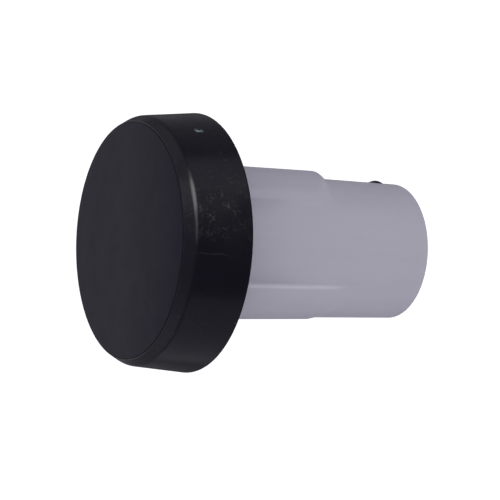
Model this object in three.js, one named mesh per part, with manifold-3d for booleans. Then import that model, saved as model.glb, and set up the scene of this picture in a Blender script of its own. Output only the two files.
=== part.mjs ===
// A round plug-in desk grommet: a deep black cap that lifts off a grey barrel.
// The barrel hangs in a hole in the desk top and carries a small sprung button near its lower end.
// Millimetres, +Z up and out of the desk. The desk's surface, which the cap's rim meets, is at z = 0.

import * as THREE from 'three';
import { mergeVertices } from 'three/addons/utils/BufferGeometryUtils.js';
import Module from 'manifold-3d';

const wasm = await Module();
wasm.setup();

// ---- Driving dimensions -------------------------------------------------------------------------

// Cap: a drafted side wall up to a ridge, a bevel above it up to a lip, and a face that stands above the lip.
const CAP_RIM_RADIUS = 30;
const CAP_RIDGE_RADIUS = 28.6;
const CAP_RIDGE_HEIGHT = 13.5;
const CAP_LIP_RADIUS = 27.25;
const CAP_LIP_HEIGHT = 16;
const CAP_HEIGHT = 16.4;
const CAP_SKIRT_WALL = 2.4;
const CAP_TOP_WALL = 2.2;

// Satin disc let into the cap's face, flat in the middle and falling to the lip at its edge.
const DISC_RADIUS = 26.9;
const DISC_CROWN_RADIUS = 23;
const DISC_THICKNESS = 1.2;
const DISC_GAP = 0.15;

// Barrel: a drafted tube with a flange that rests on the desk and a collar that carries the cap.
const BARREL_TOP_RADIUS = 17.1;
const BARREL_END_RADIUS = 16.3;
const BARREL_LENGTH = 55.9;
const BORE_RADIUS = 14.4;
const FLANGE_RADIUS = 26.4;
const FLANGE_THICKNESS = 1.8;
const COLLAR_RADIUS = 18;
const COLLAR_TOP = 8.4;

// Raised pads that centre the barrel in its hole. Angles run from the front (-Y) towards +X.
const PAD_END = 31.8;
const PAD_RUN_OUT = 1.1;
const BUTTON_PAD = { from: 36, to: 144, topRadius: 18.5, endRadius: 18.36 };
const FAR_PAD = { from: -149, to: -31, topRadius: 17.65, endRadius: 17.05 };

// Rubber parts.
const GASKET_INNER_RADIUS = 18.9;
const GASKET_OUTER_RADIUS = 26;
const GASKET_THICKNESS = 0.8;
const RING_SECTION_RADIUS = 0.72;
const RING_HEIGHT = 4.8;
const RING_GROOVE_RADIUS = 16.7;
const RING_GROOVE_WIDTH = 1.6;

// Inner plate of the cap, with the socket that fits over the barrel's collar.
const SOCKET_RADIUS = 18.3;
const SOCKET_WALL = 1.8;
const SOCKET_BOTTOM = 2.9;
const PLATE_RADIUS = 26;
const PLATE_BOTTOM = 7.4;
const PLATE_TOP = 9.4;
const PLATE_OPENING_RADIUS = 15.4;
const PLATE_LIP_BOTTOM = 8.7;

// Cap screws, spaced evenly round the plate.
const CAP_SCREW_ANGLES = [30, 150, 270];
const CAP_SCREW_CIRCLE = 23.4;
const CAP_SCREW = { headRadius: 2.3, headHeight: 1.5, shankRadius: 1.2, length: 5.6 };
const CAP_BOSS_RADIUS = 2.7;
const CAP_BOSS_HOLE_RADIUS = 1.25;
const CAP_BOSS_HOLE_TOP = 13.4;

// Lock button on the +X side, sliding along X in a guide inside the barrel.
const BUTTON_HEIGHT = -50.7;
const BUTTON_RADIUS = 2;
const BUTTON_TIP = 16.95;
const BUTTON_SHOULDER = 16.2;
const BUTTON_FLANGE = { radius: 2.75, inner: 12.9, outer: 14 };
const BUTTON_SPIGOT = { radius: 1.5, inner: 11.9 };
const BUTTON_HOLE_RADIUS = 2.15;

// Guide that holds the button and its spring.
const GUIDE = { inner: 6.9, halfWidth: 10.6, bottom: -55.7, top: -46.4, wallGap: 0.2 };
const POCKET_RADIUS = 3;
const POCKET_FLOOR = 8.6;
const GUIDE_SCREW_X = 9.4;
const GUIDE_SCREW_Y = 7.4;
const GUIDE_SCREW = { headRadius: 1.7, headHeight: 1.1, shankRadius: 0.95, length: 12.6 };
const GUIDE_COUNTERBORE = { radius: 1.85, depth: 1.3 };
const GUIDE_HOLE_RADIUS = 1.1;
const POST_RADIUS = 2.6;
const POST_TOP = -38;
const POST_HOLE_RADIUS = 1;
const POST_HOLE_TOP = -40;

// Coil spring behind the button.
const SPRING = { radius: 2.25, wireRadius: 0.25, turns: 4.5, endGap: 0.05 };

// Fineness of round shapes: sides to a full turn, and straight steps to a rounded corner.
const ROUND = 72;
const SMALL_ROUND = 16;
const CORNER_STEPS = 3;

// ---- Materials ----------------------------------------------------------------------------------

const capBlack = { color: 0x1f2125, roughness: 0.32, metalness: 0 };
const discBlack = { color: 0x2b2a2f, roughness: 0.6, metalness: 0 };
const barrelGrey = { color: 0x9a97a3, roughness: 0.5, metalness: 0 };
const innerBlack = { color: 0x26262a, roughness: 0.55, metalness: 0 };
const buttonBlack = { color: 0x101113, roughness: 0.35, metalness: 0 };
const rubberBlack = { color: 0x18181a, roughness: 0.85, metalness: 0 };
const zincSteel = { color: 0xb4b6ba, roughness: 0.35, metalness: 1 };
const springSteel = { color: 0x8c8f94, roughness: 0.3, metalness: 1 };

// ---- Solids and their outlines ------------------------------------------------------------------

// Turns a closed three.js geometry into a solid, with its faces pointing out.
function solid(geometry) {
  const bare = geometry.clone();
  bare.deleteAttribute('normal');
  bare.deleteAttribute('uv');
  const merged = mergeVertices(bare, 1e-4);
  const places = merged.attributes.position.array;
  const index = merged.index.array;
  const triangles = [];
  let volume = 0;
  const [a, b, c] = [new THREE.Vector3(), new THREE.Vector3(), new THREE.Vector3()];
  for (let i = 0; i < index.length; i += 3) {
    const [p, q, r] = [index[i], index[i + 1], index[i + 2]];
    if (p === q || q === r || r === p) continue;
    triangles.push(p, q, r);
    a.fromArray(places, 3 * p);
    b.fromArray(places, 3 * q);
    c.fromArray(places, 3 * r);
    volume += a.dot(b.cross(c));
  }
  if (volume < 0) triangles.reverse();
  return new wasm.Manifold(new wasm.Mesh({
    numProp: 3,
    vertProperties: new Float32Array(places),
    triVerts: new Uint32Array(triangles),
  }));
}

// Turns a solid back into a three.js geometry.
function geometryOf(body) {
  const mesh = body.getMesh();
  const geometry = new THREE.BufferGeometry();
  geometry.setAttribute('position', new THREE.BufferAttribute(mesh.vertProperties, 3));
  geometry.setIndex(new THREE.BufferAttribute(mesh.triVerts, 1));
  geometry.computeVertexNormals();
  return geometry;
}

// Closed outline through corners [radius, height, rounding], each corner cut back by its rounding.
function outline(corners) {
  const path = new THREE.Path();
  const at = (i) => new THREE.Vector2(...corners[(i + corners.length) % corners.length].slice(0, 2));
  corners.forEach(([, , rounding = 0], i) => {
    const corner = at(i);
    const start = at(i - 1).sub(corner).setLength(rounding).add(corner);
    const end = at(i + 1).sub(corner).setLength(rounding).add(corner);
    if (i === 0) path.moveTo(start.x, start.y);
    else path.lineTo(start.x, start.y);
    if (rounding > 0) path.quadraticCurveTo(corner.x, corner.y, end.x, end.y);
  });
  path.closePath();
  return path.getPoints(CORNER_STEPS);
}

// Solid of revolution about Z. Angle 0 is at the front (-Y) and angles grow towards +X.
function turned(corners, segments = ROUND) {
  return solid(new THREE.LatheGeometry(outline(corners), segments).rotateX(Math.PI / 2));
}

function rod(radius, bottom, top, segments = SMALL_ROUND) {
  return turned([[0, bottom], [radius, bottom], [radius, top], [0, top]], segments);
}

function block(low, high) {
  const size = high.map((value, i) => value - low[i]);
  const middle = high.map((value, i) => (value + low[i]) / 2);
  return solid(new THREE.BoxGeometry(...size).translate(...middle));
}

// Point at an angle from the front and a distance from the axis.
function around(degrees, distance) {
  const angle = THREE.MathUtils.degToRad(degrees);
  return [distance * Math.sin(angle), -distance * Math.cos(angle)];
}

// Wedge of space between two angles, for cutting a stretch out of a turned ring.
function wedge(from, to, bottom, top) {
  const reach = 2 * CAP_RIM_RADIUS;
  const middle = (from + to) / 2;
  const corners = [[0, 0], around(from, reach), around(middle, reach), around(to, reach)];
  const shape = new THREE.Shape(corners.map(([x, y]) => new THREE.Vector2(x, y)));
  const options = { depth: top - bottom, bevelEnabled: false };
  return solid(new THREE.ExtrudeGeometry(shape, options).translate(0, 0, bottom));
}

const group = new THREE.Group();

// Adds a named piece made from a solid or a geometry, and returns its mesh.
function piece(name, shape, look, position = [0, 0, 0]) {
  const geometry = shape instanceof THREE.BufferGeometry ? shape : geometryOf(shape);
  const mesh = new THREE.Mesh(geometry, new THREE.MeshStandardMaterial(look));
  mesh.name = name;
  mesh.position.set(...position);
  group.add(mesh);
  return mesh;
}

// Outer radius of the bare barrel at a height below the desk's surface.
function barrelRadius(z) {
  return THREE.MathUtils.lerp(BARREL_TOP_RADIUS, BARREL_END_RADIUS, -z / BARREL_LENGTH);
}

// ---- Cap ----------------------------------------------------------------------------------------

function capShell() {
  const recessRadius = DISC_RADIUS + DISC_GAP;
  const recessFloor = CAP_HEIGHT - DISC_THICKNESS;
  const ceiling = recessFloor - CAP_TOP_WALL;
  const skirt = turned([
    [CAP_RIM_RADIUS, 0, 0.4],
    [CAP_RIDGE_RADIUS, CAP_RIDGE_HEIGHT, 1.3],
    [CAP_LIP_RADIUS, CAP_LIP_HEIGHT],
    [recessRadius, CAP_LIP_HEIGHT],
    [recessRadius, recessFloor],
    [0, recessFloor],
    [0, ceiling],
    [CAP_RIDGE_RADIUS - CAP_SKIRT_WALL, ceiling, 1],
    [CAP_RIM_RADIUS - CAP_SKIRT_WALL, 0],
  ]);
  let shell = skirt;
  for (const angle of CAP_SCREW_ANGLES) {
    const [x, y] = around(angle, CAP_SCREW_CIRCLE);
    shell = shell.add(rod(CAP_BOSS_RADIUS, PLATE_TOP, ceiling + 1).translate([x, y, 0]));
  }
  for (const angle of CAP_SCREW_ANGLES) {
    const [x, y] = around(angle, CAP_SCREW_CIRCLE);
    shell = shell.subtract(rod(CAP_BOSS_HOLE_RADIUS, PLATE_TOP - 1, CAP_BOSS_HOLE_TOP).translate([x, y, 0]));
  }
  return shell;
}

function faceDisc() {
  return turned([
    [0, CAP_HEIGHT - DISC_THICKNESS],
    [DISC_RADIUS, CAP_HEIGHT - DISC_THICKNESS],
    [DISC_RADIUS, CAP_LIP_HEIGHT],
    [DISC_CROWN_RADIUS, CAP_HEIGHT, DISC_RADIUS - DISC_CROWN_RADIUS - 0.1],
    [0, CAP_HEIGHT],
  ]);
}

function capPlate() {
  const socketOuter = SOCKET_RADIUS + SOCKET_WALL;
  let plate = turned([
    [SOCKET_RADIUS, SOCKET_BOTTOM, 0.4],
    [socketOuter, SOCKET_BOTTOM],
    [socketOuter, PLATE_BOTTOM],
    [PLATE_RADIUS, PLATE_BOTTOM],
    [PLATE_RADIUS, PLATE_TOP],
    [PLATE_OPENING_RADIUS, PLATE_TOP],
    [PLATE_OPENING_RADIUS, PLATE_LIP_BOTTOM],
    [SOCKET_RADIUS, PLATE_LIP_BOTTOM],
  ]);
  for (const angle of CAP_SCREW_ANGLES) {
    const [x, y] = around(angle, CAP_SCREW_CIRCLE);
    plate = plate.subtract(rod(CAP_SCREW.shankRadius + 0.2, PLATE_BOTTOM - 1, PLATE_TOP + 1).translate([x, y, 0]));
  }
  return plate;
}

// Pan-head screw pointing up, with the underside of its head at z = 0 and a cross recess below.
function screw({ headRadius, headHeight, shankRadius, length }) {
  const body = turned([
    [0, -headHeight],
    [headRadius, -headHeight, headHeight / 2],
    [headRadius, 0],
    [shankRadius, 0],
    [shankRadius, length, shankRadius / 2],
    [0, length],
  ], SMALL_ROUND);
  const reach = headRadius * 0.55;
  const slot = headRadius * 0.14;
  const depth = headHeight * 0.6;
  const cut = [-headHeight - 1, -headHeight + depth];
  const recess = block([-reach, -slot, cut[0]], [reach, slot, cut[1]])
    .add(block([-slot, -reach, cut[0]], [slot, reach, cut[1]]));
  return body.subtract(recess);
}

piece('cap_shell', capShell(), capBlack);
piece('face_disc', faceDisc(), discBlack);
piece('cap_plate', capPlate(), innerBlack);
CAP_SCREW_ANGLES.forEach((angle, i) => {
  const position = [...around(angle, CAP_SCREW_CIRCLE), PLATE_BOTTOM];
  piece(`cap_screw_${i + 1}`, screw(CAP_SCREW), zincSteel, position);
});

// ---- Barrel -------------------------------------------------------------------------------------

// One raised pad: a stretch of a ring that fades into the barrel at its lower end.
function pad({ from, to, topRadius, endRadius }) {
  const root = BORE_RADIUS + 1;
  const runOut = -(PAD_END + PAD_RUN_OUT);
  const ring = turned([
    [root, GASKET_THICKNESS],
    [topRadius, GASKET_THICKNESS],
    [endRadius, -PAD_END, 0.8],
    [barrelRadius(runOut) - 0.1, runOut],
    [root, runOut],
  ]);
  return ring.intersect(wedge(from, to, runOut - 1, GASKET_THICKNESS + 1));
}

function barrel() {
  const grooveTop = RING_HEIGHT + RING_GROOVE_WIDTH / 2;
  const grooveBottom = RING_HEIGHT - RING_GROOVE_WIDTH / 2;
  const flangeTop = GASKET_THICKNESS + FLANGE_THICKNESS;
  let body = turned([
    [BORE_RADIUS, COLLAR_TOP, 0.5],
    [COLLAR_RADIUS, COLLAR_TOP, 0.6],
    [COLLAR_RADIUS, grooveTop],
    [RING_GROOVE_RADIUS, grooveTop],
    [RING_GROOVE_RADIUS, grooveBottom],
    [COLLAR_RADIUS, grooveBottom],
    [COLLAR_RADIUS, flangeTop],
    [FLANGE_RADIUS, flangeTop, 0.5],
    [FLANGE_RADIUS, GASKET_THICKNESS],
    [barrelRadius(0), GASKET_THICKNESS],
    [barrelRadius(0), 0],
    [BARREL_END_RADIUS, -BARREL_LENGTH, 0.3],
    [BORE_RADIUS, -BARREL_LENGTH, 0.3],
  ]);
  body = body.add(pad(BUTTON_PAD)).add(pad(FAR_PAD));
  const toWall = rod(BORE_RADIUS + 0.6, GUIDE.top, POST_TOP, ROUND);
  for (const side of [-1, 1]) {
    const post = rod(POST_RADIUS, GUIDE.top, POST_TOP).translate([GUIDE_SCREW_X, side * GUIDE_SCREW_Y, 0]);
    const web = block([GUIDE_SCREW_X, side * GUIDE_SCREW_Y - POST_RADIUS, GUIDE.top],
      [BORE_RADIUS, side * GUIDE_SCREW_Y + POST_RADIUS, POST_TOP]);
    body = body.add(post.add(web).intersect(toWall));
  }
  for (const side of [-1, 1]) {
    const hole = rod(POST_HOLE_RADIUS, GUIDE.top - 1, POST_HOLE_TOP);
    body = body.subtract(hole.translate([GUIDE_SCREW_X, side * GUIDE_SCREW_Y, 0]));
  }
  return body.subtract(alongX(rod(BUTTON_HOLE_RADIUS, BORE_RADIUS - 2, BARREL_TOP_RADIUS + 2)));
}

// Turns a solid built about Z so that it lies along +X at the button's height.
function alongX(body) {
  return body.rotate([0, 90, 0]).translate([0, 0, BUTTON_HEIGHT]);
}

function seatGasket() {
  return turned([
    [GASKET_INNER_RADIUS, 0],
    [GASKET_OUTER_RADIUS, 0],
    [GASKET_OUTER_RADIUS, GASKET_THICKNESS],
    [GASKET_INNER_RADIUS, GASKET_THICKNESS],
  ]);
}

function collarRing() {
  const centre = RING_GROOVE_RADIUS + RING_SECTION_RADIUS + 0.03;
  return solid(new THREE.TorusGeometry(centre, RING_SECTION_RADIUS, 8, ROUND).translate(0, 0, RING_HEIGHT));
}

piece('barrel', barrel(), barrelGrey);
piece('seat_gasket', seatGasket(), rubberBlack);
piece('collar_ring', collarRing(), rubberBlack);

// ---- Lock button --------------------------------------------------------------------------------

function buttonGuide() {
  const { inner, halfWidth, bottom, top, wallGap } = GUIDE;
  const clear = BORE_RADIUS - wallGap;
  let guide = block([inner, -halfWidth, bottom], [BORE_RADIUS, halfWidth, top]);
  guide = guide.intersect(rod(clear, bottom - 1, top + 1, ROUND));
  guide = guide.subtract(alongX(rod(POCKET_RADIUS, POCKET_FLOOR, BORE_RADIUS + 1)));
  for (const side of [-1, 1]) {
    const { radius, depth } = GUIDE_COUNTERBORE;
    const hole = rod(GUIDE_HOLE_RADIUS, bottom - 1, top + 1).add(rod(radius, bottom - 1, bottom + depth));
    guide = guide.subtract(hole.translate([GUIDE_SCREW_X, side * GUIDE_SCREW_Y, 0]));
  }
  return guide;
}

function lockButton() {
  return alongX(turned([
    [0, BUTTON_SPIGOT.inner],
    [BUTTON_SPIGOT.radius, BUTTON_SPIGOT.inner, 0.3],
    [BUTTON_SPIGOT.radius, BUTTON_FLANGE.inner],
    [BUTTON_FLANGE.radius, BUTTON_FLANGE.inner],
    [BUTTON_FLANGE.radius, BUTTON_FLANGE.outer],
    [BUTTON_RADIUS, BUTTON_FLANGE.outer],
    [BUTTON_RADIUS, BUTTON_SHOULDER],
    [BUTTON_RADIUS / 2, BUTTON_TIP, BUTTON_RADIUS / 2],
    [0, BUTTON_TIP],
  ], 24));
}

// The coil's centre line, along X from the pocket's floor to the back of the button's flange.
class Coil extends THREE.Curve {
  getPoint(t, target = new THREE.Vector3()) {
    const angle = 2 * Math.PI * SPRING.turns * t;
    const margin = SPRING.wireRadius + SPRING.endGap;
    const x = THREE.MathUtils.lerp(POCKET_FLOOR + margin, BUTTON_FLANGE.inner - margin, t);
    const y = SPRING.radius * Math.cos(angle);
    const z = BUTTON_HEIGHT + SPRING.radius * Math.sin(angle);
    return target.set(x, y, z);
  }
}

function lockSpring() {
  const wire = new THREE.Shape().absarc(0, 0, SPRING.wireRadius, 0, 2 * Math.PI, false);
  const steps = Math.round(16 * SPRING.turns);
  const options = { steps, curveSegments: 3, bevelEnabled: false, extrudePath: new Coil() };
  return solid(new THREE.ExtrudeGeometry(wire, options));
}

piece('button_guide', buttonGuide(), innerBlack);
piece('lock_button', lockButton(), buttonBlack);
piece('lock_spring', lockSpring(), springSteel);
[-1, 1].forEach((side, i) => {
  const seat = GUIDE.bottom + GUIDE_COUNTERBORE.depth;
  const position = [GUIDE_SCREW_X, side * GUIDE_SCREW_Y, seat];
  piece(`guide_screw_${i + 1}`, screw(GUIDE_SCREW), zincSteel, position);
});

export default group;
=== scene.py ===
"""Looks of the desk grommet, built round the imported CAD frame.

Units are metres, +Z runs along the barrel's axis out through the cap, and z = 0 is the desk's surface.
The CAD solids are faceted, so every one is replaced by a finer piece with the same dimensions.
"""

import math

import bmesh
import bpy
from mathutils import Matrix, Vector

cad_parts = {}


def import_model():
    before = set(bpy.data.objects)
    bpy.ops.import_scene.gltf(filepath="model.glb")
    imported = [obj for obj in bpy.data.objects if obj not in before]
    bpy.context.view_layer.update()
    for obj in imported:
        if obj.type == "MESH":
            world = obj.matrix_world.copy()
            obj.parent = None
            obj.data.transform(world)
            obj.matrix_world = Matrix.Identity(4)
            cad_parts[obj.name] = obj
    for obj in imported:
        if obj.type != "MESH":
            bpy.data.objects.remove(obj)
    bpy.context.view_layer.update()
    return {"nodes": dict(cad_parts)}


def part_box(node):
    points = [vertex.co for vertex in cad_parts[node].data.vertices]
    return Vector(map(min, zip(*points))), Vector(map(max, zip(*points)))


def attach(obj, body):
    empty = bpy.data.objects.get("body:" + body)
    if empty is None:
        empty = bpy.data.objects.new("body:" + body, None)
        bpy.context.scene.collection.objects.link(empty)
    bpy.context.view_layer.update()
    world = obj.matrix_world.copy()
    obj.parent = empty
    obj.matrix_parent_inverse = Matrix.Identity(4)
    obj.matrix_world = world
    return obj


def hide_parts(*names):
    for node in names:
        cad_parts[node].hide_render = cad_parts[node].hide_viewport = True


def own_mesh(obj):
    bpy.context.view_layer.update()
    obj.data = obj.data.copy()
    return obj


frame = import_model()

MM = 0.001


# ---- Places and sizes, read from the frame ------------------------------------------------------


def span(node, axis):
    """Lowest and highest coordinate of a CAD node along an axis."""
    low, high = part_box(node)
    return low[axis], high[axis]


def middle(node):
    """Middle of a CAD node's box."""
    low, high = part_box(node)
    return (low + high) / 2


CAP_SCREWS = [n for n in sorted(frame["nodes"]) if n.startswith("cap_screw_")]
GUIDE_SCREWS = [n for n in sorted(frame["nodes"]) if n.startswith("guide_screw_")]

CAP_RIM_RADIUS = span("cap_shell", 0)[1]
CAP_LIP = span("cap_shell", 2)[1]
DISC_BOTTOM, DISC_TOP = span("face_disc", 2)
DISC_RADIUS = span("face_disc", 0)[1]
BARREL_END, COLLAR_TOP = span("barrel", 2)
FLANGE_RADIUS = span("barrel", 0)[1]
GASKET_RADIUS = span("seat_gasket", 0)[1]
GASKET_TOP = span("seat_gasket", 2)[1]
PLATE_LOW, PLATE_TOP = span("cap_plate", 2)
PLATE_RADIUS = span("cap_plate", 0)[1]
GUIDE_BOTTOM, GUIDE_TOP = span("button_guide", 2)


# ---- Sizes that the frame's boxes don't give ----------------------------------------------------

# Cap outline.
CAP_RIDGE_RADIUS = 28.6 * MM
CAP_RIDGE_HEIGHT = 13.5 * MM
CAP_LIP_RADIUS = 27.2 * MM
CAP_RIDGE_FILLET = 2.8 * MM
CAP_WALL = 2.4 * MM
CAP_CEILING = DISC_BOTTOM - 2.2 * MM
DISC_GAP = 0.08 * MM
DISC_FLAT_RADIUS = 17.5 * MM
DISC_EDGE_FILLET = 0.18 * MM
CROWN_STEPS = 24

# Inner plate of the cap, its socket and its screws.
SOCKET_RADIUS = 18.3 * MM
SOCKET_OUTER = 20.1 * MM
SOCKET_TOP = 8.7 * MM
PLATE_BOTTOM = 7.4 * MM
PLATE_OPENING = 15.4 * MM
BOSS_RADIUS = 2.7 * MM
BOSS_TOP = CAP_CEILING + 1 * MM
BOSS_HOLE_RADIUS = 1.25 * MM
BOSS_HOLE_TOP = CAP_CEILING + 0.8 * MM
PLATE_HOLE_RADIUS = 1.4 * MM

# Barrel outline.
BARREL_TOP_RADIUS = 17.1 * MM
BARREL_END_RADIUS = 16.3 * MM
BORE_RADIUS = 14.4 * MM
COLLAR_RADIUS = 18.0 * MM
FLANGE_TOP = GASKET_TOP + 1.8 * MM
GROOVE_RADIUS = 16.7 * MM
GROOVE_BOTTOM = 4.0 * MM
GROOVE_TOP = 5.6 * MM
GASKET_INNER = 18.9 * MM
RING_SECTION_RADIUS = 0.72 * MM
POST_RADIUS = 2.6 * MM
POST_TOP = -38 * MM
POST_WEB_OFFSET = 1.1 * MM
POST_PILOT_RADIUS = 1.0 * MM
POST_PILOT_TOP = -40 * MM

# Anything further in than this is the barrel's bore, which the pads leave alone.
BORE_LIMIT = BORE_RADIUS + 1.2 * MM

# Lock button, its guide and its spring.
BUTTON_RADIUS = 2.0 * MM
BUTTON_SHOULDER = 16.2 * MM
BUTTON_HOLE_RADIUS = 2.15 * MM
STEM_RADIUS = 1.5 * MM
BUTTON_FLANGE_RADIUS = 2.75 * MM
BUTTON_FLANGE_INNER = 12.9 * MM
BUTTON_FLANGE_OUTER = 14.0 * MM
DOME_STEPS = 14
POCKET_RADIUS = 3.0 * MM
POCKET_FLOOR = 8.6 * MM
GUIDE_WALL_GAP = 0.2 * MM
SCREW_RECESS_RADIUS = 1.85 * MM
SCREW_RECESS_DEPTH = 1.3 * MM
GUIDE_HOLE_RADIUS = 1.1 * MM
WIRE_RADIUS = 0.25 * MM
COIL_RADIUS = 2.25 * MM

# Extra length that takes a cutting tool clear of the faces it cuts through.
CUT_CLEAR = 1 * MM

# Head radius, head height, shank radius and shank length.
CAP_SCREW_SIZES = (2.3 * MM, 1.5 * MM, 1.2 * MM, 5.4 * MM)
GUIDE_SCREW_SIZES = (1.7 * MM, 1.1 * MM, 0.95 * MM, 12.4 * MM)

# Degrees at which an edge stays sharp in the shading.
SHARP_DEGREES = 32
BARREL_SHARP_DEGREES = 40

# Faces round a turned piece.
SEGMENTS = 192
CAP_SEGMENTS = 256
BARREL_SEGMENTS = 360


# ---- Mesh helpers -------------------------------------------------------------------------------


def rounded(corners, steps=8):
    """Closed outline through corners (radius, height) or (radius, height, fillet), with true arcs."""
    points = []
    for i, corner in enumerate(corners):
        here = Vector(corner[:2])
        if len(corner) < 3:
            points.append(here)
            continue
        back = (Vector(corners[i - 1][:2]) - here).normalized()
        ahead = (Vector(corners[(i + 1) % len(corners)][:2]) - here).normalized()
        half = back.angle(ahead) / 2
        centre = here + (back + ahead).normalized() * corner[2] / math.sin(half)
        reach = corner[2] / math.tan(half)
        start = here + back * reach - centre
        end = here + ahead * reach - centre
        sweep = start.angle(end)
        for k in range(steps + 1):
            u = k / steps
            arm = start * math.sin((1 - u) * sweep) + end * math.sin(u * sweep)
            points.append(centre + arm / math.sin(sweep))
    return points


def mesh_object(name, bm, sharp_degrees=SHARP_DEGREES):
    """Object made from a bmesh, smooth except at its sharp edges."""
    bmesh.ops.remove_doubles(bm, verts=bm.verts, dist=1e-7)
    bmesh.ops.recalc_face_normals(bm, faces=bm.faces)
    mesh = bpy.data.meshes.new(name)
    bm.to_mesh(mesh)
    bm.free()
    mesh.shade_smooth()
    mesh.set_sharp_from_angle(angle=math.radians(sharp_degrees))
    thing = bpy.data.objects.new(name, mesh)
    bpy.context.scene.collection.objects.link(thing)
    return thing


def turned(name, outline, segments=SEGMENTS, lift=None, sharp_degrees=SHARP_DEGREES):
    """Closed solid of revolution about Z. lift(angle, radius, z) gives a radius of its own."""
    bm = bmesh.new()
    rings = []
    for j in range(segments):
        angle = 2 * math.pi * j / segments
        ring = []
        for radius, z in outline:
            r = lift(angle, radius, z) if lift else radius
            ring.append(bm.verts.new((r * math.sin(angle), -r * math.cos(angle), z)))
        rings.append(ring)
    count = len(outline)
    for j in range(segments):
        one, two = rings[j], rings[(j + 1) % segments]
        for i in range(count):
            k = (i + 1) % count
            if outline[i][0] == 0 and outline[k][0] == 0:
                continue
            if outline[i][0] == 0:
                bm.faces.new((one[i], one[k], two[k]))
            elif outline[k][0] == 0:
                bm.faces.new((one[i], one[k], two[i]))
            else:
                bm.faces.new((one[i], one[k], two[k], two[i]))
    return mesh_object(name, bm, sharp_degrees)


def skin(bm, rings):
    """Faces between closed rings of vertices, each with the same number of them."""
    sides = len(rings[0])
    for one, two in zip(rings, rings[1:]):
        for j in range(sides):
            k = (j + 1) % sides
            bm.faces.new((one[j], one[k], two[k], two[j]))


def placed(thing, place):
    """The same object with its mesh moved by a matrix."""
    thing.data.transform(place)
    return thing


def combine(thing, other, operation):
    """Joins or cuts thing with other, and deletes other."""
    change = thing.modifiers.new("join", "BOOLEAN")
    change.operation = operation
    change.solver = "EXACT"
    change.object = other
    graph = bpy.context.evaluated_depsgraph_get()
    mesh = bpy.data.meshes.new_from_object(thing.evaluated_get(graph))
    thing.modifiers.clear()
    thing.data = mesh
    bpy.data.objects.remove(other)
    return thing


def rod(name, radius, bottom, top, segments=64):
    """Straight cylinder about Z."""
    return turned(name, rounded([(0, bottom), (radius, bottom), (radius, top), (0, top)]), segments)


def shifted(thing, x, y):
    """The same object moved sideways."""
    return placed(thing, Matrix.Translation((x, y, 0)))


def sharpened(thing, degrees=SHARP_DEGREES):
    """The same object after cutting and joining, with its sharp edges marked again."""
    thing.data.set_sharp_from_angle(angle=math.radians(degrees))
    return thing


def at_button(thing):
    """The same object turned from along Z to along X, at the button's height."""
    turn = Matrix.Rotation(math.pi / 2, 4, "Y")
    return placed(thing, Matrix.Translation((0, 0, middle("lock_button").z)) @ turn)


# ---- Materials ----------------------------------------------------------------------------------


def set_range(node, low, high, out_low, out_high):
    """Sets the limits of a Map Range node."""
    limits = {"From Min": low, "From Max": high, "To Min": out_low, "To Max": out_high}
    for key, number in limits.items():
        node.inputs[key].default_value = number


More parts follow.
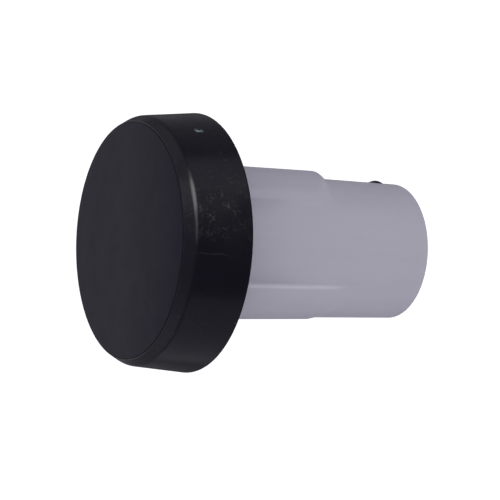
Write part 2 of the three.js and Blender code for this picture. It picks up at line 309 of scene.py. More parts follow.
class Look:
    """A procedural material, built up node by node in object coordinates."""

    def __init__(self, name, roughness=0.5, metallic=0.0, specular=0.5):
        self.material = bpy.data.materials.new(name)
        self.material.use_nodes = True
        self.tree = self.material.node_tree
        self.shader = self.tree.nodes["Principled BSDF"]
        self.shader.inputs["Metallic"].default_value = metallic
        self.shader.inputs["Roughness"].default_value = roughness
        self.shader.inputs["Specular IOR Level"].default_value = specular
        self.place = self.node("ShaderNodeTexCoord").outputs["Object"]

    def node(self, kind, **settings):
        made = self.tree.nodes.new(kind)
        for key, value in settings.items():
            setattr(made, key, value)
        return made

    def link(self, source, target):
        self.tree.links.new(source, target)

    def stretched(self, scale):
        """Object coordinates scaled by three factors, for marks that run one way."""
        mapping = self.node("ShaderNodeMapping")
        mapping.inputs["Scale"].default_value = scale
        self.link(self.place, mapping.inputs["Vector"])
        return mapping.outputs["Vector"]

    def noise(self, scale, detail=3.0, distortion=0.0, place=None):
        """Soft random value about 0.5. The scale is in features to the metre."""
        made = self.node("ShaderNodeTexNoise")
        made.inputs["Scale"].default_value = scale
        made.inputs["Detail"].default_value = detail
        made.inputs["Distortion"].default_value = distortion
        self.link(place or self.place, made.inputs["Vector"])
        return made.outputs["Fac"]

    def specks(self, scale, size):
        """Scattered dots: 1 inside a dot and 0 outside."""
        made = self.node("ShaderNodeTexVoronoi")
        made.inputs["Scale"].default_value = scale
        self.link(self.place, made.inputs["Vector"])
        return self.remap(made.outputs["Distance"], size, size * 0.5, 0.0, 1.0)

    def cracks(self, scale, width):
        """Network of fine curved lines: 1 on a line and 0 beside it."""
        bent = self.node("ShaderNodeVectorMath", operation="MULTIPLY_ADD")
        wander = self.node("ShaderNodeTexNoise")
        wander.inputs["Scale"].default_value = scale * 0.7
        self.link(self.place, wander.inputs["Vector"])
        self.link(wander.outputs["Color"], bent.inputs[0])
        bent.inputs[1].default_value = (2.6 / scale,) * 3
        self.link(self.place, bent.inputs[2])
        made = self.node("ShaderNodeTexVoronoi", feature="DISTANCE_TO_EDGE")
        made.inputs["Scale"].default_value = scale
        self.link(bent.outputs["Vector"], made.inputs["Vector"])
        return self.remap(made.outputs["Distance"], 0.0, width, 1.0, 0.0)

    def strokes(self, scale, length, turn):
        """Short thin dashes on the front, turned from upright by an angle: 1 on a dash and 0 beside."""
        mapping = self.node("ShaderNodeMapping", vector_type="TEXTURE")
        mapping.inputs["Rotation"].default_value = (0, math.radians(turn), 0)
        mapping.inputs["Scale"].default_value = (1, 1, length)
        self.link(self.place, mapping.inputs["Vector"])
        streaks = self.noise(scale, detail=1, place=mapping.outputs["Vector"])
        return self.remap(streaks, 0.62, 0.68, 0.0, 1.0)

    def near(self, point, reach):
        """1 at a point of the surface, falling to 0 at a distance from it."""
        away = self.node("ShaderNodeVectorMath", operation="DISTANCE")
        self.link(self.place, away.inputs[0])
        away.inputs[1].default_value = point
        return self.remap(away.outputs["Value"], 0.35 * reach, reach, 1.0, 0.0)

    def remap(self, value, low, high, out_low, out_high):
        """Straight ramp of a value from one range to another, held at its ends."""
        made = self.node("ShaderNodeMapRange", clamp=True)
        set_range(made, low, high, out_low, out_high)
        self.link(value, made.inputs["Value"])
        return made.outputs["Result"]

    def maths(self, operation, one, two):
        """Result of an operation on one and two. Each is a number or a socket."""
        made = self.node("ShaderNodeMath", operation=operation)
        for socket, value in zip(made.inputs, (one, two)):
            if isinstance(value, (int, float)):
                socket.default_value = value
            else:
                self.link(value, socket)
        return made.outputs["Value"]

    def blend(self, factor, one, two):
        """Colour between one and two. Each is a colour or a socket."""
        made = self.node("ShaderNodeMix", data_type="RGBA")
        self.link(factor, made.inputs["Factor"])
        for key, value in (("A", one), ("B", two)):
            socket = [s for s in made.inputs if s.name == key and s.type == "RGBA"][0]
            if isinstance(value, tuple):
                socket.default_value = (*value, 1.0)
            else:
                self.link(value, socket)
        return [s for s in made.outputs if s.type == "RGBA"][0]

    def colour(self, source):
        self.link(source, self.shader.inputs["Base Color"])

    def roughness(self, source):
        self.link(source, self.shader.inputs["Roughness"])

    def bump(self, height, strength, distance):
        """Adds a layer of bump over those already made."""
        made = self.node("ShaderNodeBump")
        made.inputs["Strength"].default_value = strength
        made.inputs["Distance"].default_value = distance
        self.link(height, made.inputs["Height"])
        socket = self.shader.inputs["Normal"]
        if socket.is_linked:
            self.link(socket.links[0].from_socket, made.inputs["Normal"])
        self.link(made.outputs["Normal"], socket)


# Places of the marks on the cap's side.
SCUFFED_SPOT = (9 * MM, -27.5 * MM, 8 * MM)
PALE_MARK = (25.1 * MM, -15.1 * MM, 6.8 * MM)
SCRATCH = (-2.4 * MM, -28.6 * MM, 10.0 * MM)


def scuff_marks(look):
    """Crossed strokes and one long scratch on the cap's side."""
    crossed = look.maths("MAXIMUM", look.strokes(2600, 6, 28), look.strokes(3000, 5, -62))
    broken = look.remap(look.noise(330, detail=2), 0.46, 0.56, 0.0, 1.0)
    strokes = look.maths("MULTIPLY", crossed, broken)
    strokes = look.maths("MULTIPLY", strokes, look.near(SCUFFED_SPOT, 10 * MM))
    across = look.node("ShaderNodeSeparateXYZ")
    look.link(look.place, across.inputs["Vector"])
    wander = look.remap(look.noise(170, detail=2), 0.3, 0.7, -0.6 * MM, 0.6 * MM)
    offset = look.maths("SUBTRACT", look.maths("ADD", across.outputs["X"], wander), SCRATCH[0])
    scratch = look.remap(look.maths("ABSOLUTE", offset, 0.0), 0.05 * MM, 0.16 * MM, 1.0, 0.0)
    fading = look.remap(look.near(SCRATCH, 6 * MM), 0.0, 1.0, 0.0, 0.35)
    return look.maths("MAXIMUM", strokes, look.maths("MULTIPLY", scratch, fading))


def cap_plastic():
    """Semi-gloss black moulding with fine scratches, a small pale bluish mark and a little dust."""
    look = Look("cap_black", specular=0.2)
    clouds = look.noise(55, detail=4)
    base = look.blend(clouds, (0.0046, 0.0040, 0.0076), (0.0072, 0.0064, 0.0108))
    hairlines = look.noise(900, detail=2, distortion=0.6, place=look.stretched((0.35, 0.35, 3.0)))
    scratched = look.remap(hairlines, 0.66, 0.74, 0.0, 1.0)
    patches = look.remap(look.noise(70, detail=2), 0.5, 0.65, 0.0, 1.0)
    marks = look.maths("MULTIPLY", scratched, patches)
    dust = look.maths("MULTIPLY", look.specks(520, 0.13), look.remap(look.noise(140), 0.59, 0.64, 0.0, 1.0))
    base = look.blend(look.maths("MULTIPLY", marks, 0.5), base, (0.02, 0.021, 0.024))
    scuffs = scuff_marks(look)
    base = look.blend(scuffs, base, (0.030, 0.031, 0.036))
    # A small pale bluish patch of fine cracks, bumped in like a shallow dent.
    pale_mark = look.maths("MULTIPLY", look.near(PALE_MARK, 1.2 * MM), look.cracks(760, 0.14))
    base = look.blend(pale_mark, base, (0.22, 0.30, 0.33))
    look.colour(look.blend(look.maths("MULTIPLY", dust, 0.5), base, (0.05, 0.055, 0.06)))
    rough = look.remap(look.noise(120, detail=4), 0.3, 0.7, 0.20, 0.28)
    look.roughness(look.maths("ADD", rough, look.maths("MULTIPLY", marks, 0.25)))
    look.bump(look.noise(420, detail=2), 0.10, 0.0002)
    look.bump(hairlines, 0.05, 0.00005)
    look.bump(look.maths("MAXIMUM", scuffs, pale_mark), -0.4, 0.00008)
    return look.material


def face_plastic():
    """Satin black inlay with a very fine spark-eroded grain, with painted shade that darkens it towards the
    front edge and a little towards the back.
    """
    look = Look("face_black", specular=0.09)
    split = look.node("ShaderNodeSeparateXYZ")
    look.link(look.place, split.inputs["Vector"])
    # Painted shade: the base colour falls off towards the front edge and a little towards the back, standing
    # in for how light falls across the face.
    front = look.remap(split.outputs["Y"], -DISC_RADIUS, 0.05 * DISC_RADIUS, 0.10, 1.0)
    back = look.remap(split.outputs["Y"], 0.05 * DISC_RADIUS, DISC_RADIUS, 1.0, 0.80)
    painted_shade = look.maths("MULTIPLY", front, back)
    base = look.blend(painted_shade, (0.0034, 0.0024, 0.0085), (0.0155, 0.0141, 0.0207))
    base = look.blend(look.remap(look.noise(45, detail=3), 0.3, 0.7, 0.0, 0.10), base, (0.020, 0.019, 0.027))
    dust = look.maths("MULTIPLY", look.specks(380, 0.10), look.remap(look.noise(60), 0.6, 0.66, 0.0, 1.0))
    look.colour(look.blend(look.maths("MULTIPLY", dust, 0.4), base, (0.06, 0.06, 0.065)))
    look.roughness(look.remap(look.noise(260, detail=4), 0.3, 0.7, 0.54, 0.60))
    look.bump(look.noise(3600, detail=2), 0.12, 0.0001)
    return look.material


def barrel_plastic():
    """Satin light grey moulding with a lilac tint, with a painted highlight on the pads' thin edges and
    painted shade at their feet.
    """
    look = Look("barrel_grey", specular=0.4)
    base = look.blend(look.noise(38, detail=3), (0.325, 0.314, 0.372), (0.345, 0.335, 0.392))
    drawn = look.noise(420, detail=2, place=look.stretched((1.0, 1.0, 0.05)))
    base = look.blend(look.remap(drawn, 0.35, 0.7, 0.0, 0.10), base, (0.27, 0.26, 0.31))
    # Painted highlight along the pads' long edges and painted shade in their inner corners, read from the
    # values that tone() stores on the barrel.
    edge = look.node("ShaderNodeAttribute", attribute_name="painted_edge_highlight").outputs["Fac"]
    foot = look.node("ShaderNodeAttribute", attribute_name="foot_shade").outputs["Fac"]
    base = look.blend(foot, base, (0.20, 0.18, 0.25))
    look.colour(look.blend(edge, base, (0.50, 0.48, 0.54)))
    look.roughness(look.remap(look.noise(190, detail=4), 0.3, 0.7, 0.42, 0.54))
    look.bump(look.noise(1500, detail=2), 0.06, 0.0001)
    look.bump(drawn, 0.05, 0.0001)
    look.shader.inputs["Subsurface Weight"].default_value = 0.25
    look.shader.inputs["Subsurface Radius"].default_value = (1.0, 0.9, 1.0)
    look.shader.inputs["Subsurface Scale"].default_value = 0.0015
    return look.material


def plain_moulding():
    """Black inner mouldings with a dull, slightly uneven surface."""
    look = Look("inner_black", specular=0.35)
    look.colour(look.blend(look.noise(90, detail=4), (0.010, 0.010, 0.012), (0.022, 0.022, 0.025)))
    look.roughness(look.remap(look.noise(300, detail=4), 0.3, 0.7, 0.45, 0.65))
    look.bump(look.noise(1400, detail=3), 0.15, 0.0001)
    return look.material


def button_plastic():
    """Black button, polished where it rubs."""
    look = Look("button_black", specular=0.3)
    look.colour(look.blend(look.noise(700, detail=4), (0.004, 0.004, 0.005), (0.010, 0.010, 0.012)))
    look.roughness(look.remap(look.noise(900, detail=4), 0.3, 0.7, 0.28, 0.45))
    look.bump(look.noise(2500, detail=2), 0.10, 0.00005)
    return look.material


def rubber():
    """Matt black rubber with a bloom of dust."""
    look = Look("seal_rubber", specular=0.3)
    look.colour(look.blend(look.noise(240, detail=5), (0.010, 0.010, 0.011), (0.030, 0.030, 0.031)))
    look.roughness(look.remap(look.noise(500, detail=4), 0.3, 0.7, 0.75, 0.95))
    look.bump(look.noise(2600, detail=3), 0.25, 0.0001)
    return look.material


def plated_steel():
    """Zinc-plated steel with a faint blue and straw bloom."""
    look = Look("zinc_steel", metallic=1.0)
    look.colour(look.blend(look.noise(500, detail=4), (0.50, 0.52, 0.56), (0.62, 0.60, 0.54)))
    look.roughness(look.remap(look.noise(1300, detail=4), 0.3, 0.7, 0.22, 0.42))
    look.bump(look.noise(3000, detail=3), 0.12, 0.00005)
    return look.material


def drawn_wire():
    """Spring wire with fine drawing marks."""
    look = Look("spring_steel", metallic=1.0)
    look.colour(look.blend(look.noise(1200, detail=4), (0.30, 0.31, 0.33), (0.42, 0.42, 0.43)))
    look.roughness(look.remap(look.noise(2400, detail=4), 0.3, 0.7, 0.25, 0.45))
    look.bump(look.noise(5200, detail=2), 0.15, 0.00003)
    return look.material


LOOKS = {
    "cap_black": cap_plastic(),
    "face_black": face_plastic(),
    "barrel_grey": barrel_plastic(),
    "inner_black": plain_moulding(),
    "button_black": button_plastic(),
    "seal_rubber": rubber(),
    "zinc_steel": plated_steel(),
    "spring_steel": drawn_wire(),
}


def fit(thing, body, node, slot):
    """Gives a piece its material and its body, and hides the CAD node that it stands for."""
    thing.data.materials.clear()
    thing.data.materials.append(LOOKS[slot])
    normals = thing.modifiers.new("even_normals", "WEIGHTED_NORMAL")
    normals.keep_sharp = True
    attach(thing, body)
    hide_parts(node)
    return thing


# ---- Cap ----------------------------------------------------------------------------------------


def cap_shell():
    """Moulded cap with a recess for the disc, hollow below, with a boss for each screw."""
    recess = DISC_RADIUS + DISC_GAP
    shell = turned("moulded_cap", rounded([
        (CAP_RIM_RADIUS + 0.05 * MM, 0, 0.45 * MM),
        (CAP_RIDGE_RADIUS, CAP_RIDGE_HEIGHT, CAP_RIDGE_FILLET),
        (CAP_LIP_RADIUS, CAP_LIP - 0.12 * MM, 0.12 * MM),
        (recess, CAP_LIP - 0.18 * MM, 0.04 * MM),
        (recess, DISC_BOTTOM),
        (0, DISC_BOTTOM),
        (0, CAP_CEILING),
        (CAP_RIDGE_RADIUS - CAP_WALL, CAP_CEILING, 1.0 * MM),
        (CAP_RIM_RADIUS - CAP_WALL, 0, 0.3 * MM),
    ]), CAP_SEGMENTS)
    for node in CAP_SCREWS:
        centre = middle(node)
        boss = rod("boss", BOSS_RADIUS, PLATE_TOP, BOSS_TOP)
        combine(shell, shifted(boss, centre.x, centre.y), "UNION")
        hole = rod("hole", BOSS_HOLE_RADIUS, PLATE_TOP - CUT_CLEAR, BOSS_HOLE_TOP)
        combine(shell, shifted(hole, centre.x, centre.y), "DIFFERENCE")
    return fit(sharpened(shell), "cap", "cap_shell", "cap_black")


def face_disc():
    """Satin disc, flat in the middle and curving down to the lip at its edge."""
    fall = DISC_TOP - CAP_LIP
    reach = DISC_RADIUS - DISC_FLAT_RADIUS
    crown = []
    for k in range(CROWN_STEPS + 1):
        u = 1 - k / CROWN_STEPS
        crown.append(Vector((DISC_FLAT_RADIUS + reach * u, DISC_TOP - fall * u ** 2)))
    edge = rounded([
        (0, DISC_BOTTOM),
        (DISC_RADIUS, DISC_BOTTOM),
        (DISC_RADIUS, CAP_LIP, DISC_EDGE_FILLET),
        (0, CAP_LIP),
    ])
    outline = edge[:-1] + crown[1:] + [Vector((0, DISC_TOP))]
    return fit(turned("satin_face", outline, CAP_SEGMENTS), "cap", "face_disc", "face_black")


# Degrees from the front, leaving out the three places where the screws are.
RIB_ANGLES = [angle for angle in range(0, 360, 30) if angle % 120 != 30]


def cap_plate():
    """Ring-shaped plate with the socket that slips over the collar, ribbed underneath."""
    plate = turned("cap_inner_plate", rounded([
        (SOCKET_RADIUS, PLATE_LOW, 0.35 * MM),
        (SOCKET_OUTER, PLATE_LOW, 0.35 * MM),
        (SOCKET_OUTER, PLATE_BOTTOM, 0.5 * MM),
        (PLATE_RADIUS, PLATE_BOTTOM, 0.25 * MM),
        (PLATE_RADIUS, PLATE_TOP, 0.25 * MM),
        (PLATE_OPENING, PLATE_TOP, 0.2 * MM),
        (PLATE_OPENING, SOCKET_TOP, 0.2 * MM),
        (SOCKET_RADIUS, SOCKET_TOP),
    ]))
    for node in CAP_SCREWS:
        centre = middle(node)
        hole = rod("hole", PLATE_HOLE_RADIUS, PLATE_BOTTOM - CUT_CLEAR, PLATE_TOP + CUT_CLEAR)
        combine(plate, shifted(hole, centre.x, centre.y), "DIFFERENCE")
    for angle in RIB_ANGLES:
        combine(plate, plate_rib(math.radians(angle)), "UNION")
    return fit(sharpened(plate), "cap", "cap_plate", "inner_black")


def plate_rib(angle):
    """Stiffening rib under the plate, from the socket's wall out towards its rim."""
    inner, outer = SOCKET_OUTER - 0.4 * MM, PLATE_RADIUS - 0.8 * MM
    foot, half = PLATE_BOTTOM + 0.3 * MM, 0.45 * MM
    low_inner, low_outer = PLATE_LOW + 1.0 * MM, PLATE_BOTTOM - 0.7 * MM
    bm = bmesh.new()
    sides = []
    for y in (-half, half):
        profile = ((inner, foot), (inner, low_inner), (outer, low_outer), (outer, foot))
        sides.append([bm.verts.new((x, y, z)) for x, z in profile])
    bm.faces.new(sides[0])
    bm.faces.new(list(reversed(sides[1])))
    for i in range(4):
        k = (i + 1) % 4
        bm.faces.new((sides[0][i], sides[1][i], sides[1][k], sides[0][k]))
    rib = mesh_object("rib", bm)
    return placed(rib, Matrix.Rotation(angle - math.pi / 2, 4, "Z"))


def pan_head_screw(name, head_radius, head_height, shank_radius, length):
    """Screw pointing up, the underside of its head at z = 0, with a tapered cross recess and a thread."""
    pitch = shank_radius * 0.75
    crest, root = shank_radius, shank_radius * 0.78
    turns = int((length - 1.2 * shank_radius) / pitch)
    bm = bmesh.new()
    sides = 32
    rows = []
    for k in range(turns * 4 + 1):
        height = pitch * k / 4
        row = []
        for j in range(sides):
            angle = 2 * math.pi * j / sides
            phase = (height / pitch - j / sides) % 1.0
            radius = root + (crest - root) * (1 - abs(2 * phase - 1)) ** 1.5
            x, y = radius * math.cos(angle), radius * math.sin(angle)
            row.append(bm.verts.new((x, y, 0.2 * pitch + height)))
        rows.append(row)
    skin(bm, rows)
    tip = bm.verts.new((0, 0, length))
    for j in range(sides):
        bm.faces.new((rows[-1][j], rows[-1][(j + 1) % sides], tip))
    bm.faces.new(list(reversed(rows[0])))
    thread = mesh_object("thread", bm)
    head = turned(name, rounded([
        (0, -head_height),
        (head_radius, -head_height, head_height * 0.7),
        (head_radius, 0, 0.05 * head_radius),
        (0, 0),
    ]), 48)
    slot, reach, depth = head_radius * 0.15, head_radius * 0.55, head_height * 0.62
    for turn in (0, math.pi / 2):
        bm = bmesh.new()
        bmesh.ops.create_cube(bm, size=1)
        for v in bm.verts:
            deep = v.co.z > 0
            taper = 0.45 if deep else 1.0
            top = -head_height + (depth if deep else -0.5 * head_height)
            v.co = Vector((v.co.x * 2 * reach * taper, v.co.y * 2 * slot * taper, top))
        wing = placed(mesh_object("wing", bm), Matrix.Rotation(turn, 4, "Z"))
        combine(head, wing, "DIFFERENCE")
    return sharpened(combine(head, thread, "UNION"))


def screws(nodes, body, seat, sizes):
    """One screw for each node, its head seated at a height and its recess turned a different way."""
    for i, node in enumerate(nodes):
        centre = middle(node)
        screw = pan_head_screw(f"{body}_fixing_{i + 1}", *sizes)
        turn = Matrix.Rotation(math.radians(25 + 40 * i), 4, "Z")
        placed(screw, Matrix.Translation((centre.x, centre.y, seat)) @ turn)
        fit(screw, body, node, "zinc_steel")


cap_shell()
face_disc()
cap_plate()
screws(CAP_SCREWS, "cap", PLATE_BOTTOM, CAP_SCREW_SIZES)


# ---- Barrel -------------------------------------------------------------------------------------

# Raised pads. "from", "to", "edge" and "reach" are degrees round from the front, "corner" is the
# radius of the rounded end, and "run_out" and "melt" are how softly its middle and its corners fall away.
# "top" and "end" are radii. "glow" and "shade" are the strengths of the painted highlight and the painted
# shade along the edges, with where they fade out.
PAD_END = -31.8 * MM
BUTTON_PAD = {
    "from": 38, "to": 142, "edge": 15, "corner": 20 * MM, "run_out": 1.0 * MM, "melt": 11.0 * MM,
    "top": 18.5 * MM, "end": 18.36 * MM, "glow": 0.0, "shade": 0.3, "reach": 7,
    "glow_fade": (-36 * MM, -29 * MM), "shade_fade": (-24 * MM, -8 * MM),
}
FAR_PAD = {
    "from": -149, "to": -31, "edge": 2.4, "corner": 60 * MM, "run_out": 1.4 * MM, "melt": 11.0 * MM,
    "top": 17.65 * MM, "end": 17.05 * MM, "glow": 0.5, "shade": 0.3, "reach": 9,
    "glow_fade": (-36 * MM, -29 * MM), "shade_fade": (-30 * MM, -8 * MM),
}
PADS = [BUTTON_PAD, FAR_PAD]


# Share of a pad's half width over which its end stays crisp.
CRISP_SHARE = 0.18

# Spacing of the rows of vertices down the barrel, and the stretch round the pads' ends where it is finer.
ROW_STEP = 1.2 * MM
FINE_ROW_STEP = 0.2 * MM
FINE_ROWS = (PAD_END - 2 * MM, PAD_END + 9 * MM)

# Painted highlight crest and painted shade foot along a pad's long edges: how far inside the edge and how
# wide, in degrees.
CREST_PLACE, CREST_WIDTH = 1.2, 1.3
FOOT_PLACE, FOOT_WIDTH = -1.0, 1.2


def smooth(low, high, value):
    """0 below low, 1 above high, and an S-curve between them."""
    t = min(max((value - low) / (high - low), 0.0), 1.0)
    return t * t * (3 - 2 * t)


def bare_radius(z):
    """Radius of the drafted tube without its pads."""
    t = min(max(z / BARREL_END, 0.0), 1.0)
    return BARREL_TOP_RADIUS + (BARREL_END_RADIUS - BARREL_TOP_RADIUS) * t


def degrees_from_front(angle):
    """An angle in degrees, between -180 and 180."""
    turn = math.degrees(angle) % 360
    return turn - 360 if turn > 180 else turn


def inside(pad, degrees):
    """How far inside a pad's two long edges an angle lies, in degrees; negative is outside."""
    return min(degrees - pad["from"], pad["to"] - degrees)


def along(pad, degrees, z):
    """1 on a pad's length, falling to 0 past its rounded lower end, more gently towards its corners."""
    turn = degrees - (pad["from"] + pad["to"]) / 2
    away = math.radians(turn) * pad["end"]
    corner = pad["corner"]
    end = PAD_END + corner - math.sqrt(max(corner ** 2 - away ** 2, 0.0))
    share = abs(2 * turn / (pad["to"] - pad["from"]))
    fall = pad["run_out"] + (pad["melt"] - pad["run_out"]) * min(max(share - CRISP_SHARE, 0.0), 1.0)
    return smooth(end - fall, end, z)


def pad_lift(degrees, z):
    """How far the pads stand out from the tube."""
    lift = 0.0
    for pad in PADS:
        t = min(max(z / PAD_END, 0.0), 1.0)
        outer = pad["top"] + (pad["end"] - pad["top"]) * t
        rise = smooth(-pad["edge"] / 2, pad["edge"] / 2, inside(pad, degrees))
        lift += (outer - bare_radius(z)) * rise * along(pad, degrees, z)
    return lift


def barrel_outline():
    """Closed outline of the barrel, with enough rows on the outside for the pads' shape."""
    upper = rounded([
        (bare_radius(0), GASKET_TOP),
        (FLANGE_RADIUS, GASKET_TOP, 0.3 * MM),
        (FLANGE_RADIUS, FLANGE_TOP, 0.5 * MM),
        (COLLAR_RADIUS, FLANGE_TOP, 0.3 * MM),
        (COLLAR_RADIUS, GROOVE_BOTTOM, 0.1 * MM),
        (GROOVE_RADIUS, GROOVE_BOTTOM),
        (GROOVE_RADIUS, GROOVE_TOP),
        (COLLAR_RADIUS, GROOVE_TOP, 0.1 * MM),
        (COLLAR_RADIUS, COLLAR_TOP, 0.5 * MM),
        (BORE_RADIUS, COLLAR_TOP, 0.6 * MM),
        (BORE_RADIUS, BARREL_END, 0.35 * MM),
        (BARREL_END_RADIUS, BARREL_END, 0.35 * MM),
    ])
    rows = []
    z = upper[-1].y + ROW_STEP
    while z < 0:
        rows.append(Vector((bare_radius(z), z)))
        z += FINE_ROW_STEP if FINE_ROWS[0] < z < FINE_ROWS[1] else ROW_STEP
    return upper + rows + [Vector((bare_radius(0), 0))]


def lifted(angle, radius, z):
    """Outer radius with the pads added; the bore and everything above the desk stay as they are."""
    if z > 0 or radius < BORE_LIMIT:
        return radius
    return radius + pad_lift(degrees_from_front(angle), z)


def tone(thing):
    """Stores a painted highlight on the pads' thin edges and painted shade in their inner corners."""
    light = thing.data.attributes.new("painted_edge_highlight", "FLOAT", "POINT")
    shade = thing.data.attributes.new("foot_shade", "FLOAT", "POINT")
    for i, v in enumerate(thing.data.vertices):
        radius = math.hypot(v.co.x, v.co.y)
        if v.co.z > 0 or radius < BORE_LIMIT:
            continue
        degrees = degrees_from_front(math.atan2(v.co.x, -v.co.y))
        for pad in PADS:
            depth = inside(pad, degrees)
            crest = math.exp(-((depth - CREST_PLACE) / CREST_WIDTH) ** 2)
            spread = pad["reach"] if depth < FOOT_PLACE else FOOT_WIDTH
            foot = math.exp(-((depth - FOOT_PLACE) / spread) ** 2)
            light.data[i].value += pad["glow"] * crest * smooth(*pad["glow_fade"], v.co.z)
            shade.data[i].value += pad["shade"] * foot * smooth(*pad["shade_fade"], v.co.z)


def barrel():
    """Tube with flange, collar and pads, the button's hole, and two posts for the guide."""
    outline = barrel_outline()
    body = turned("moulded_barrel", outline, BARREL_SEGMENTS, lifted, BARREL_SHARP_DEGREES)
    hole = rod("hole", BUTTON_HOLE_RADIUS, BORE_RADIUS - 2 * CUT_CLEAR, BARREL_TOP_RADIUS + 2 * CUT_CLEAR)
    combine(body, at_button(hole), "DIFFERENCE")
    for node in GUIDE_SCREWS:
        centre = middle(node)
        post = rod("post", POST_RADIUS, GUIDE_TOP, POST_TOP)
        out = Vector((centre.x, centre.y, 0)).normalized() * POST_WEB_OFFSET
        web = rod("web", POST_RADIUS, GUIDE_TOP, POST_TOP)
        combine(body, shifted(post, centre.x, centre.y), "UNION")
        combine(body, shifted(web, centre.x + out.x, centre.y + out.y), "UNION")
        pilot = rod("pilot", POST_PILOT_RADIUS, GUIDE_TOP - CUT_CLEAR, POST_PILOT_TOP)
        combine(body, shifted(pilot, centre.x, centre.y), "DIFFERENCE")
    sharpened(body, BARREL_SHARP_DEGREES)
    tone(body)
    return fit(body, "barrel", "barrel", "barrel_grey")


def seat_gasket():
    """Flat rubber ring between the flange and the desk."""
    ring = turned("seat_seal", rounded([
        (GASKET_INNER, 0, 0.15 * MM),
        (GASKET_RADIUS, 0, 0.15 * MM),
        (GASKET_RADIUS, GASKET_TOP, 0.15 * MM),
        (GASKET_INNER, GASKET_TOP, 0.15 * MM),
    ]))
    return fit(ring, "barrel", "seat_gasket", "seal_rubber")


def collar_ring():
    """Rubber ring of round section in the collar's groove."""
    section = RING_SECTION_RADIUS
    centre = span("collar_ring", 0)[1] - section
    height = middle("collar_ring").z
    sides = 24
    outline = []
    for k in range(sides):
        angle = 2 * math.pi * k / sides
        outline.append(Vector((centre + section * math.cos(angle), height + section * math.sin(angle))))
    ring = turned("collar_seal", outline, sharp_degrees=60)
    return fit(ring, "barrel", "collar_ring", "seal_rubber")


barrel()
seat_gasket()
collar_ring()


# ---- Lock button --------------------------------------------------------------------------------


def lock_button():
    """Stem with a flange inside the bore and a shallow dome outside it."""
    low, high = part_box("lock_button")
    tip = high.x
    stem = rounded([
        (0, low.x),
        (STEM_RADIUS, low.x, 0.25 * MM),
        (STEM_RADIUS, BUTTON_FLANGE_INNER, 0.15 * MM),
        (BUTTON_FLANGE_RADIUS, BUTTON_FLANGE_INNER, 0.2 * MM),
        (BUTTON_FLANGE_RADIUS, BUTTON_FLANGE_OUTER, 0.2 * MM),
        (BUTTON_RADIUS, BUTTON_FLANGE_OUTER),
    ])
    rise = tip - BUTTON_SHOULDER
    dome_radius = (BUTTON_RADIUS ** 2 + rise ** 2) / (2 * rise)
    half = math.asin(BUTTON_RADIUS / dome_radius)
    dome = []
    for k in range(DOME_STEPS + 1):
        angle = half * (1 - k / DOME_STEPS)
        dome.append(Vector((dome_radius * math.sin(angle), tip - dome_radius * (1 - math.cos(angle)))))
    button = turned("lock_plunger", stem + dome, 96, sharp_degrees=50)
    return fit(at_button(button), "button", "lock_button", "button_black")


def button_guide():
    """Block inside the barrel with the button's pocket and two screw holes."""
    low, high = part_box("button_guide")
    bm = bmesh.new()
    bmesh.ops.create_cube(bm, size=1)
    size = Vector((BORE_RADIUS - low.x, high.y - low.y, high.z - low.z))
    centre = Vector(((BORE_RADIUS + low.x) / 2, (low.y + high.y) / 2, (low.z + high.z) / 2))
    for v in bm.verts:
        v.co = Vector((v.co.x * size.x, v.co.y * size.y, v.co.z * size.z)) + centre
    inner_edges = [e for e in bm.edges if all(v.co.x < centre.x for v in e.verts)]
    bmesh.ops.bevel(bm, geom=inner_edges, offset=0.6 * MM, segments=5, profile=0.5, affect="EDGES")
    guide = mesh_object("guide_block", bm)
    bottom, top = GUIDE_BOTTOM - CUT_CLEAR, GUIDE_TOP + CUT_CLEAR
    clear = rod("clear", BORE_RADIUS - GUIDE_WALL_GAP, bottom, top, BARREL_SEGMENTS)
    combine(guide, clear, "INTERSECT")
    pocket = rod("pocket", POCKET_RADIUS, POCKET_FLOOR, BORE_RADIUS + CUT_CLEAR)
    combine(guide, at_button(pocket), "DIFFERENCE")
    for node in GUIDE_SCREWS:
        centre = middle(node)
        through = (GUIDE_HOLE_RADIUS, top)
        recess = (SCREW_RECESS_RADIUS, GUIDE_BOTTOM + SCREW_RECESS_DEPTH)
        for radius, end in (through, recess):
            hole = rod("hole", radius, bottom, end)
            combine(guide, shifted(hole, centre.x, centre.y), "DIFFERENCE")
    return fit(sharpened(guide), "barrel", "button_guide", "inner_black")


def lock_spring():
    """Coil with closed end turns, which shortens towards the pocket's floor as the button goes in."""
    low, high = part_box("lock_spring")
    turns = 6.0
    steps = 220
    sides = 12
    start, end = low.x + WIRE_RADIUS, high.x - WIRE_RADIUS
    points = []
    for k in range(steps + 1):
        t = k / steps
        wound = turns * t
        open_part = smooth(0.0, 1.0, (wound - 0.5) / (turns - 1.0))
        x = start + (end - start) * open_part
        angle = 2 * math.pi * wound
        points.append(Vector((x, COIL_RADIUS * math.cos(angle), COIL_RADIUS * math.sin(angle))))
    bm = bmesh.new()
    rows = []
    for k, point in enumerate(points):
        ahead = points[min(k + 1, steps)] - points[max(k - 1, 0)]
        ahead.normalize()
        out = Vector((0, point.y, point.z)).normalized()
        side = ahead.cross(out).normalized()
        out = side.cross(ahead).normalized()
        row = []
        for j in range(sides):
            angle = 2 * math.pi * j / sides
            row.append(bm.verts.new(point + WIRE_RADIUS * (math.cos(angle) * out + math.sin(angle) * side)))
        rows.append(row)
    skin(bm, rows)
    bm.faces.new(list(reversed(rows[0])))
    bm.faces.new(rows[-1])
    spring = mesh_object("lock_coil", bm, 50)
    button_z = middle("lock_button").z
    placed(spring, Matrix.Translation((0, 0, button_z)))
    fit(spring, "barrel", "lock_spring", "spring_steel")
    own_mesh(spring)
    return spring


lock_button()
button_guide()
lock_spring()
screws(GUIDE_SCREWS, "barrel", GUIDE_BOTTOM + SCREW_RECESS_DEPTH, GUIDE_SCREW_SIZES)


# ---- Stage, light and camera --------------------------------------------------------------------

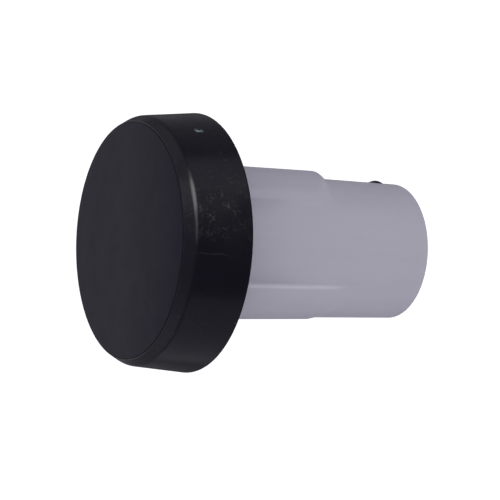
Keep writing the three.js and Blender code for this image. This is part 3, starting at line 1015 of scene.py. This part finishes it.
FLOOR_DROP = 0.30
FLOOR_SIZE = 12.0
LIGHT_DISTANCE = 1.0

# Surround: its brightness overhead, below and in front, and the heights and depths between which it
# changes, as parts of the distance from the grommet.
SURROUND_COLOUR = (0.98, 0.965, 1.05, 1.0)
OVERHEAD_LEVEL = 0.85
BELOW_DIM = 0.09
HEIGHT_RANGE = (-0.15, 0.42)
FRONT_DIM = 0.22
DEPTH_RANGE = (-0.95, 0.1)
BACKDROP_LEVEL = 1.05

# Colour of the lights that reach the cap's side wall from below.
LOW_TINT = (0.97, 0.95, 1.10)


def floor():
    """A wide pale floor well below the grommet, which its own mount holds up."""
    bm = bmesh.new()
    bmesh.ops.create_grid(bm, x_segments=4, y_segments=4, size=FLOOR_SIZE / 2)
    ground = mesh_object("floor", bm)
    ground.location.z = BARREL_END - FLOOR_DROP
    look = Look("floor_pale", specular=0.0, roughness=0.9)
    look.colour(look.blend(look.noise(3), (0.86, 0.86, 0.86), (0.88, 0.88, 0.88)))
    look.shader.inputs["Emission Color"].default_value = (1, 1, 1, 1)
    look.shader.inputs["Emission Strength"].default_value = 0.45
    ground.data.materials.append(look.material)
    ground.visible_glossy = False


def area_light(name, azimuth, elevation, size, radiance, glossy=True, diffuse=True, tint=(1, 1, 1)):
    """Rectangular light facing the grommet. The azimuth runs from the front (-Y) towards +X."""
    angle, rise = math.radians(azimuth), math.radians(elevation)
    towards = Vector((math.sin(angle) * math.cos(rise), -math.cos(angle) * math.cos(rise), math.sin(rise)))
    data = bpy.data.lights.new(name, "AREA")
    data.shape = "RECTANGLE"
    data.size, data.size_y = size
    data.energy = radiance * math.pi * size[0] * size[1]
    data.color = tint
    lamp = bpy.data.objects.new(name, data)
    lamp.location = towards * LIGHT_DISTANCE
    lamp.rotation_euler = towards.to_track_quat("Z", "Y").to_euler()
    lamp.visible_glossy = glossy
    lamp.visible_diffuse = diffuse
    bpy.context.scene.collection.objects.link(lamp)
    return lamp


def ramp(tree, source, low, high, out_low, out_high):
    """Smooth step of a value from one level to another."""
    made = tree.nodes.new("ShaderNodeMapRange")
    made.interpolation_type = "SMOOTHSTEP"
    set_range(made, low, high, out_low, out_high)
    tree.links.new(source, made.inputs["Value"])
    return made.outputs["Result"]


def world():
    """Even studio surround: bright behind and beside the grommet, dim in front and below."""
    made = bpy.data.worlds.new("studio")
    made.use_nodes = True
    tree = made.node_tree
    background = tree.nodes["Background"]
    background.inputs["Color"].default_value = SURROUND_COLOUR
    place = tree.nodes.new("ShaderNodeTexCoord")
    split = tree.nodes.new("ShaderNodeSeparateXYZ")
    tree.links.new(place.outputs["Generated"], split.inputs["Vector"])
    height = ramp(tree, split.outputs["Z"], *HEIGHT_RANGE, BELOW_DIM, OVERHEAD_LEVEL)
    front = ramp(tree, split.outputs["Y"], *DEPTH_RANGE, FRONT_DIM, 1.0)
    level = tree.nodes.new("ShaderNodeMath")
    level.operation = "MULTIPLY"
    tree.links.new(height, level.inputs[0])
    tree.links.new(front, level.inputs[1])
    path = tree.nodes.new("ShaderNodeLightPath")
    seen = tree.nodes.new("ShaderNodeMix")
    tree.links.new(path.outputs["Is Camera Ray"], seen.inputs["Factor"])
    tree.links.new(level.outputs["Value"], seen.inputs["A"])
    seen.inputs["B"].default_value = BACKDROP_LEVEL
    tree.links.new(seen.outputs["Result"], background.inputs["Strength"])
    bpy.context.scene.world = made


# The camera's tilt from straight above the cap, its roll, and how far it looks aside from the origin.
VIEW_TILT = math.radians(61.7)
VIEW_ROLL = math.radians(-2.34)
VIEW_DISTANCE = 0.48
SENSOR_WIDTH = 36.0
LENS = 149.64
AIM_SIDEWAYS = -0.02945
AIM_UPWARDS = 0.00346


def camera():
    """Looks down on the cap from the front, rolled so that the barrel points to the right."""
    back = Vector((0, -math.sin(VIEW_TILT), math.cos(VIEW_TILT)))
    level = Vector((0, -math.cos(VIEW_TILT), -math.sin(VIEW_TILT)))
    upright = back.cross(level)
    right = math.cos(VIEW_ROLL) * level - math.sin(VIEW_ROLL) * upright
    up = math.sin(VIEW_ROLL) * level + math.cos(VIEW_ROLL) * upright
    facing = Matrix((right, up, back)).transposed()
    seen = Vector((AIM_SIDEWAYS, AIM_UPWARDS, -1)).normalized()
    aim = seen.rotation_difference(Vector((0, 0, -1))).to_matrix()
    data = bpy.data.cameras.new("camera")
    data.sensor_width = SENSOR_WIDTH
    data.lens = LENS
    data.clip_start = 0.01
    data.clip_end = 50
    eye = bpy.data.objects.new("camera", data)
    eye.matrix_world = Matrix.Translation(back * VIEW_DISTANCE) @ (facing @ aim).to_4x4()
    bpy.context.scene.collection.objects.link(eye)
    bpy.context.scene.camera = eye


floor()
world()
area_light("window", 41, 7, (0.45, 0.60), 6.5, diffuse=False)
area_light("window_edge", 33, 7, (1.05, 0.30), 3.2, diffuse=False)
area_light("window_floor", 62, -17, (0.55, 0.45), 0.55, diffuse=False, tint=LOW_TINT)
area_light("left_floor", -86, -17, (1.55, 0.45), 0.35, diffuse=False, tint=LOW_TINT)
area_light("left_back_floor", -150, -12, (0.9, 0.45), 0.08, diffuse=False, tint=LOW_TINT)
area_light("right_back_floor", 122, -17, (1.25, 0.45), 0.10, diffuse=False, tint=LOW_TINT)
area_light("fill", -4, 34, (1.3, 1.0), 1.62, glossy=False)
camera()
bpy.context.scene.view_settings.view_transform = "Standard"
